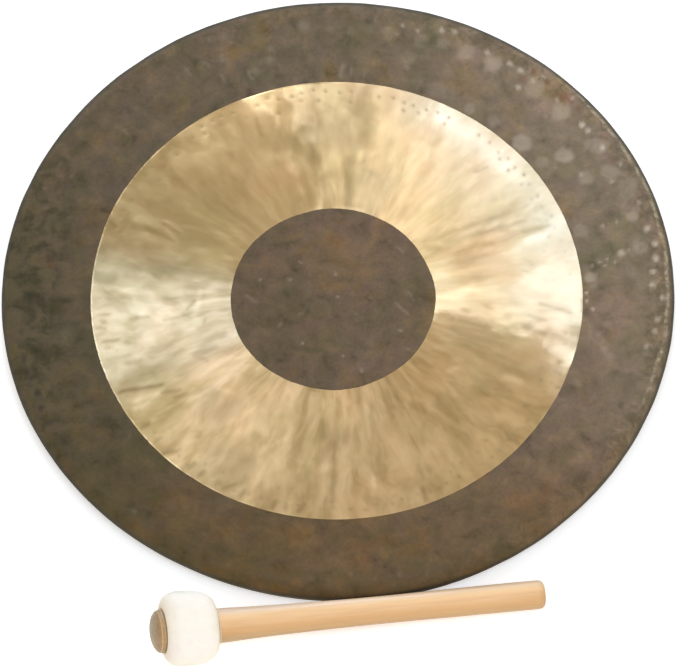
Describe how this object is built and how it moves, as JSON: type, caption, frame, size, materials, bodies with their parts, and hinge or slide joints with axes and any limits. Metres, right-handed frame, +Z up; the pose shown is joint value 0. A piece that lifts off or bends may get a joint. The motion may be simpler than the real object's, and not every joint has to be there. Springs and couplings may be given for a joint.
{
  "type": "chau gong",
  "caption": "Flat round bronze gong with a turned-back rim and a bright scraped ring between dark bands, lying face up beside its padded wooden mallet.",
  "frame": {"origin": "middle of the whole set's box in plan, on the surface that the gong's rim and the mallet rest on", "axes": "+Z up, out of the gong's face; +Y from the mallet towards the gong's cord holes; +X from the mallet's head towards its handle"},
  "size_m": [0.4, 0.4448, 0.0427],
  "materials": {
    "bronze": "hammered, dark oxide with a bright scraped ring",
    "beech": "turned and lightly waxed",
    "dark_wood": "turned, satin",
    "core_wood": "bare",
    "leather": "smooth",
    "fleece": "soft napped felt",
    "felt": "wound felt",
    "thread": "twisted thread"
  },
  "bodies": {
    "gong": {"gong_disc": "bronze"},
    "mallet": {"mallet_handle": "beech", "end_cap": "dark_wood", "end_washer": "leather", "cap_dowel": "beech", "mallet_core": "core_wood", "head_cover": "fleece", "felt_winding": "felt", "cover_tie": "thread"}
  },
  "joints": [
    {"name": "mallet_lift", "type": "slide", "parent": "gong", "child": "mallet", "axis": [0, 0, 1], "range_m": [0, 0.25]}
  ]
}
